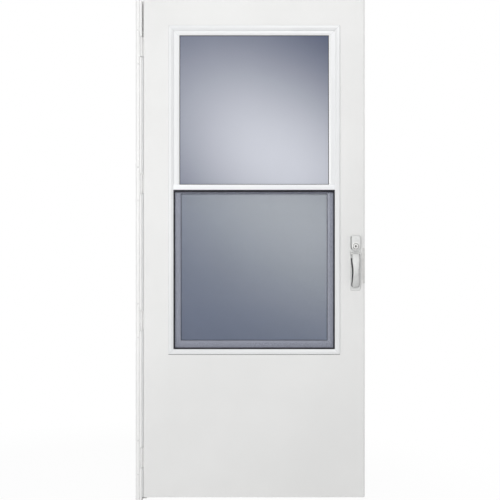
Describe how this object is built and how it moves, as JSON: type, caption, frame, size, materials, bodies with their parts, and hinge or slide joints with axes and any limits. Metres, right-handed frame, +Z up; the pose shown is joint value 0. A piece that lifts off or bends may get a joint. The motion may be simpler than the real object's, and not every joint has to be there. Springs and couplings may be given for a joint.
{
  "type": "storm door",
  "caption": "White mid-view storm door leaf with a sliding glass and screen window, lockable pull handle, and a full-height hinge rail that screws to the doorway trim.",
  "frame": {"origin": "on the back face of the hinge rail's mounting flange, half way across it and level with the leaf's lower edge", "axes": "+X from the hinge side to the latch side, -Y outdoors and +Y into the doorway, +Z up"},
  "size_m": [0.928, 0.116, 2.027],
  "materials": {
    "white_aluminium": "smooth white baked enamel",
    "white_vinyl": "moulded white vinyl, semi-gloss",
    "wood_core": "bare particle board",
    "clear_glass": "clear safety glass",
    "black_rubber": "matt black cord",
    "dark_mesh": "woven charcoal fibreglass mesh",
    "dark_aluminium": "dark enamel",
    "grey_pile": "dense brushed pile",
    "white_hardware": "pale satin plating on a casting",
    "satin_steel": "satin nickel plate"
  },
  "bodies": {
    "rail": {"hinge_rail": "white_aluminium", "rail_pile_strip": "grey_pile", "rail_cover": "white_aluminium", "rail_hinge_leaf_1": "white_aluminium", "rail_hinge_leaf_2": "white_aluminium", "rail_hinge_leaf_3": "white_aluminium", "rail_hinge_leaf_4": "white_aluminium"},
    "door": {"exterior_skin": "white_aluminium", "interior_skin": "white_aluminium", "core_hinge_stile": "wood_core", "core_latch_stile": "wood_core", "core_bottom_panel": "wood_core", "core_top_rail": "wood_core", "bottom_channel": "white_aluminium", "top_channel": "white_aluminium", "outer_window_surround": "white_vinyl", "inner_window_surround": "white_vinyl", "sash_tracks": "white_vinyl", "upper_glass_gasket": "black_rubber", "lower_glass_gasket": "black_rubber", "sash_latches": "white_vinyl", "upper_sash_frame": "white_vinyl", "upper_glass": "clear_glass", "upper_glazing_bead": "white_vinyl", "meeting_rail": "white_vinyl", "lower_sash_frame": "white_vinyl", "lower_glass": "clear_glass", "lower_glazing_bead": "white_vinyl", "screen_frame": "dark_aluminium", "screen_mesh": "dark_mesh", "screen_cord": "black_rubber", "outer_handle_plate": "white_hardware", "pull_pin": "satin_steel", "lock_cylinder": "satin_steel", "latch_edge_plate": "satin_steel", "latch_bolt": "satin_steel", "inner_handle_plate": "white_hardware", "inner_lever": "white_hardware", "inner_thumb_turn": "white_hardware", "door_hinge_leaf_1": "white_aluminium", "door_hinge_leaf_2": "white_aluminium", "door_hinge_leaf_3": "white_aluminium", "door_hinge_leaf_4": "white_aluminium"},
    "pull": {"pull_handle": "white_hardware"},
    "plug": {"lock_plug": "satin_steel"}
  },
  "joints": [
    {"name": "door_swing", "type": "hinge", "parent": "rail", "child": "door", "pos_m": [0.0105, -0.0084, 0], "axis": [0, 0, -1], "range_deg": [0, 110]},
    {"name": "pull_swing", "type": "hinge", "parent": "door", "child": "pull", "pos_m": [0.8745, -0.0205, 0.984], "axis": [-1, 0, 0], "range_deg": [0, 12], "stiffness_Nm_per_rad": 1, "springref_deg": -5.73},
    {"name": "lock_turn", "type": "hinge", "parent": "door", "child": "plug", "pos_m": [0.8745, -0.029, 1.014], "axis": [0, 1, 0], "range_deg": [0, 90]}
  ]
}
